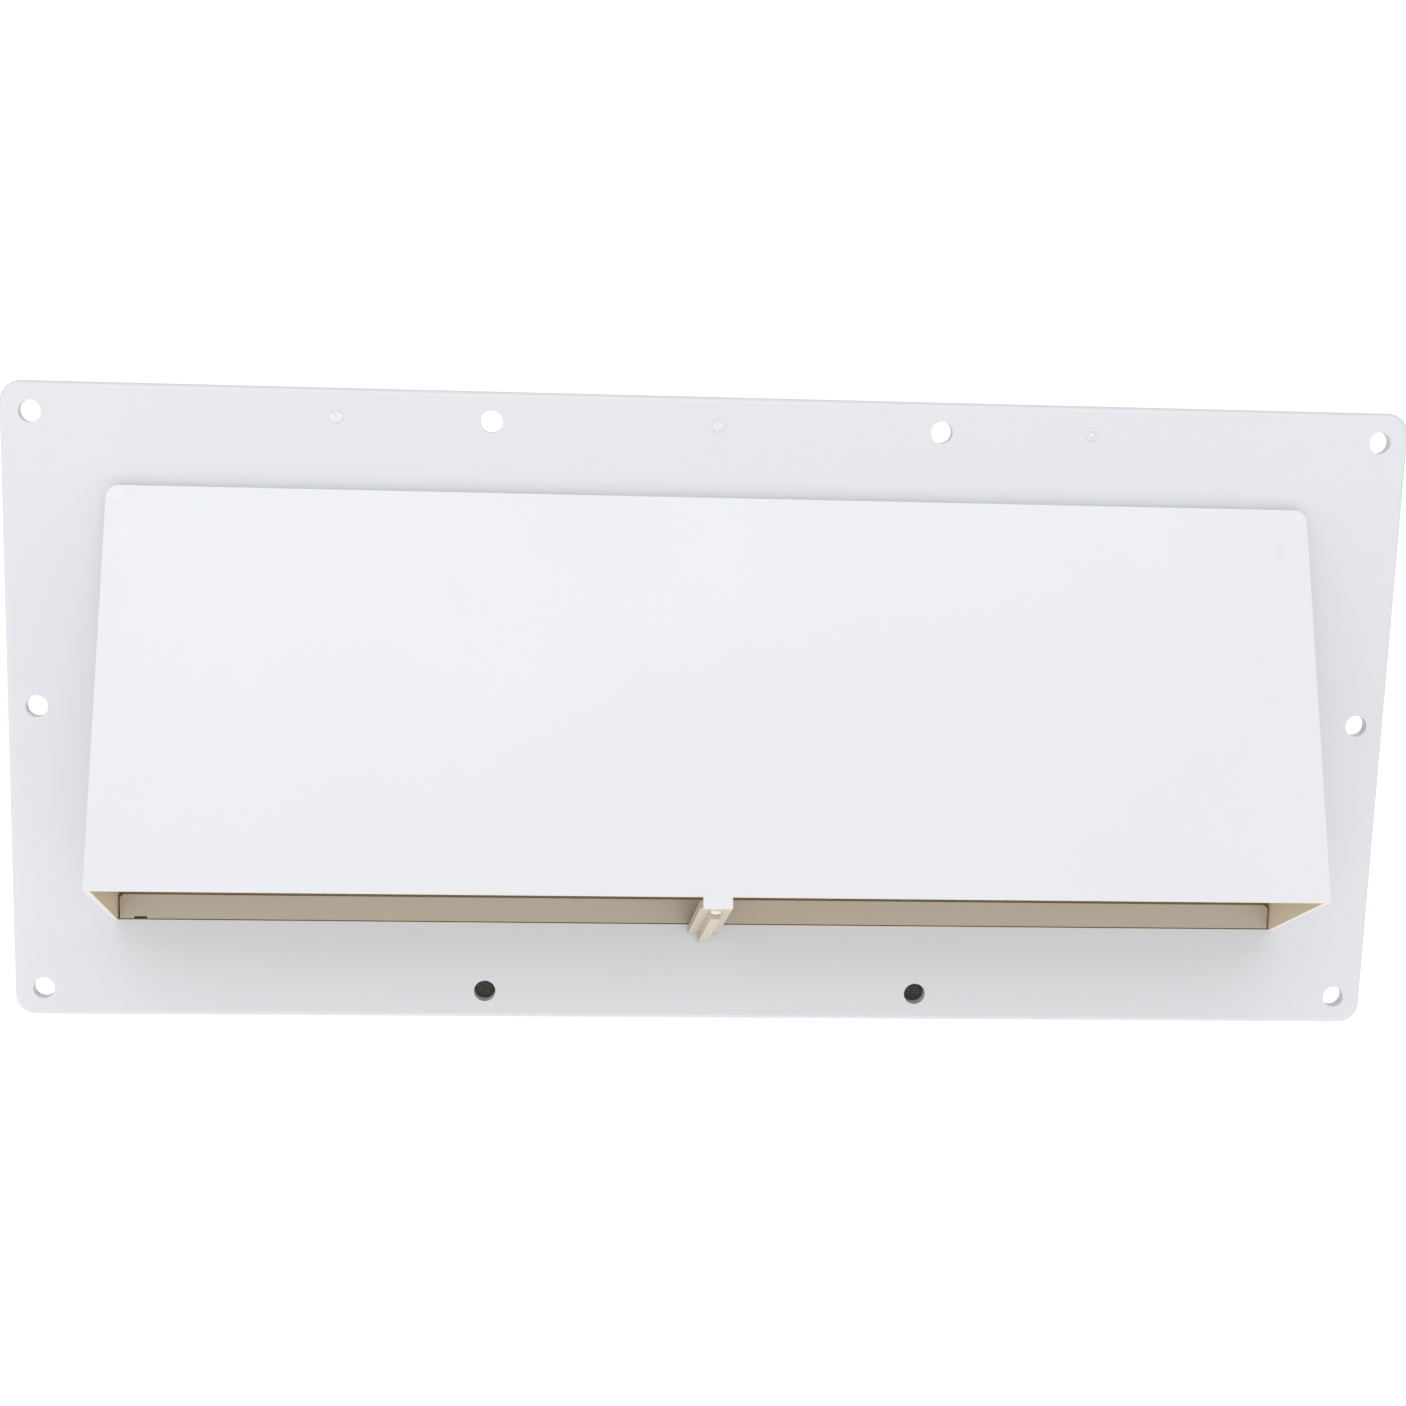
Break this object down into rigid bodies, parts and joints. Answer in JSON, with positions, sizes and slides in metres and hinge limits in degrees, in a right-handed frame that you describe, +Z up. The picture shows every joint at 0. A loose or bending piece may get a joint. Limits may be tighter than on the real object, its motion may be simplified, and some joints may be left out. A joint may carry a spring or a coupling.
{
  "type": "sidewall vent cover",
  "caption": "Rectangular vent cover with a down-facing hood, a hinged damper flap behind it, a lever across the mouth and a screw flange.",
  "frame": {"origin": "centre of the screw pattern, at the flange's back face", "axes": "+X to the right seen from outside, +Y into the wall, +Z up"},
  "size_m": [0.3048, 0.0671, 0.1396],
  "materials": {
    "white_plastic": "satin",
    "grey_plastic": "satin",
    "flap_plastic": "satin",
    "steel": "satin",
    "steel_pin": "satin",
    "black_plastic": "matt",
    "rubber": "matt",
    "foam": "matt"
  },
  "bodies": {
    "housing": {"cover_shell": "white_plastic", "duct_collar": "grey_plastic", "collar_screws": "steel", "hinge_rod": "steel", "rod_cap_left": "black_plastic", "rod_cap_right": "black_plastic", "flap_seal_top": "foam", "flap_seal_bottom": "foam", "flap_seal_left": "foam", "flap_seal_right": "foam", "wall_gasket_top": "foam", "wall_gasket_bottom": "foam", "wall_gasket_left": "foam", "wall_gasket_right": "foam", "flap_bumper_left": "rubber", "flap_bumper_right": "rubber"},
    "flap": {"damper_flap": "flap_plastic"},
    "lever": {"lock_lever": "white_plastic", "lever_pin": "steel_pin", "lever_washer": "steel", "lever_nut": "steel"}
  },
  "joints": [
    {"name": "flap_swing", "type": "hinge", "parent": "housing", "child": "flap", "pos_m": [0, -0.0028, 0.0395], "axis": [-1, 0, 0], "range_deg": [0, 18]},
    {"name": "lever_turn", "type": "hinge", "parent": "housing", "child": "lever", "pos_m": [0, -0.03295, -0.03343], "axis": [0, -0.4268, -0.9044], "range_deg": [-90, 90]}
  ]
}
